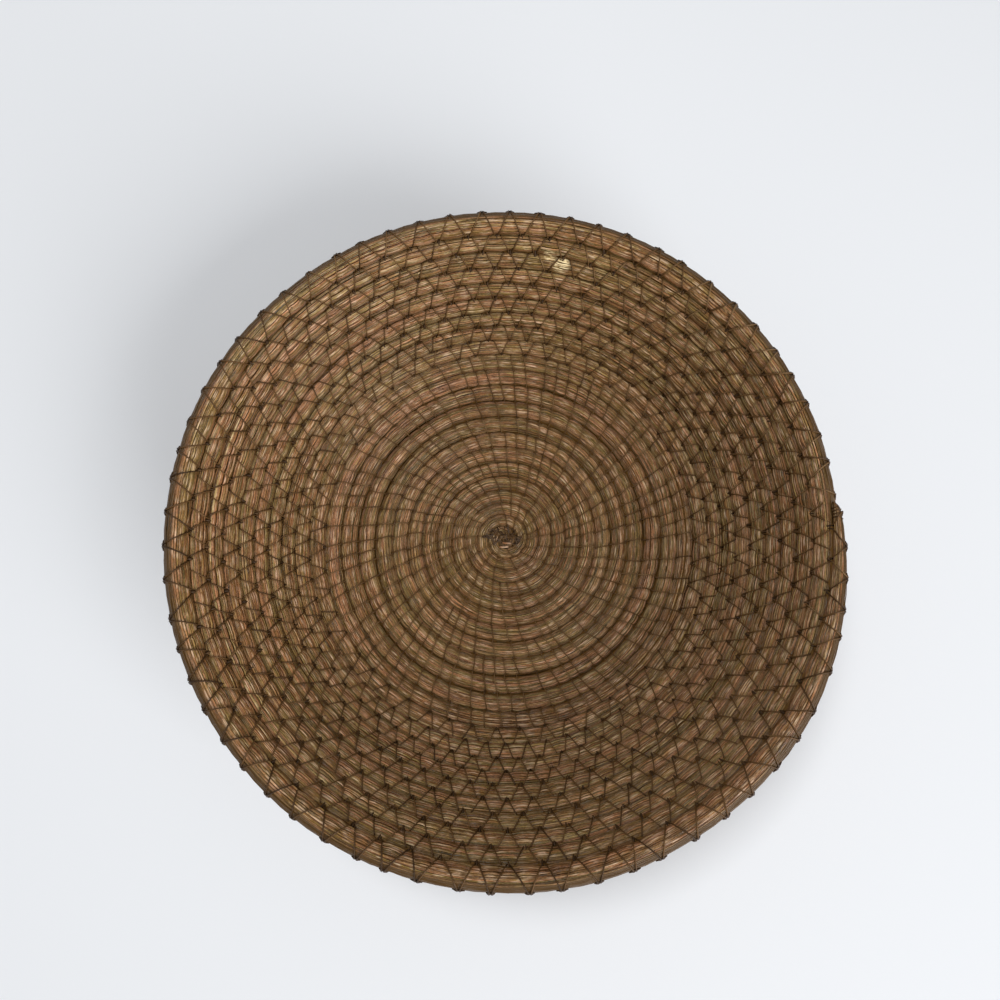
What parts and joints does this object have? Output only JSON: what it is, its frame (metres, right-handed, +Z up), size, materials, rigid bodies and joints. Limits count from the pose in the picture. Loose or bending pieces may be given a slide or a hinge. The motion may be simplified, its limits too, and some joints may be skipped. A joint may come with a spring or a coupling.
{
  "type": "coiled pine needle basket",
  "caption": "Round shallow bowl basket of coiled pine needles, stitched row to row with thread, with a flat base, sloping wall and bound tip on the rim.",
  "frame": {"origin": "centre of the base's underside, on the surface the basket stands on", "axes": "+Z up out of the bowl; the tip of the needle bundle lies on the rim about 7 degrees from +X towards +Y; the coil winds outwards anticlockwise seen from above"},
  "size_m": [0.2995, 0.2987, 0.0761],
  "materials": {
    "pine_needle": "dried pine needles, brown with tan and reddish strands, satin",
    "waxed_thread": "dark brown waxed thread"
  },
  "bodies": {
    "root": {"needle_coil": "pine_needle", "centre_knot": "waxed_thread", "base_stitching": "waxed_thread", "wall_stitching": "waxed_thread", "rim_stitching": "waxed_thread", "tip_binding": "waxed_thread"}
  },
  "joints": []
}
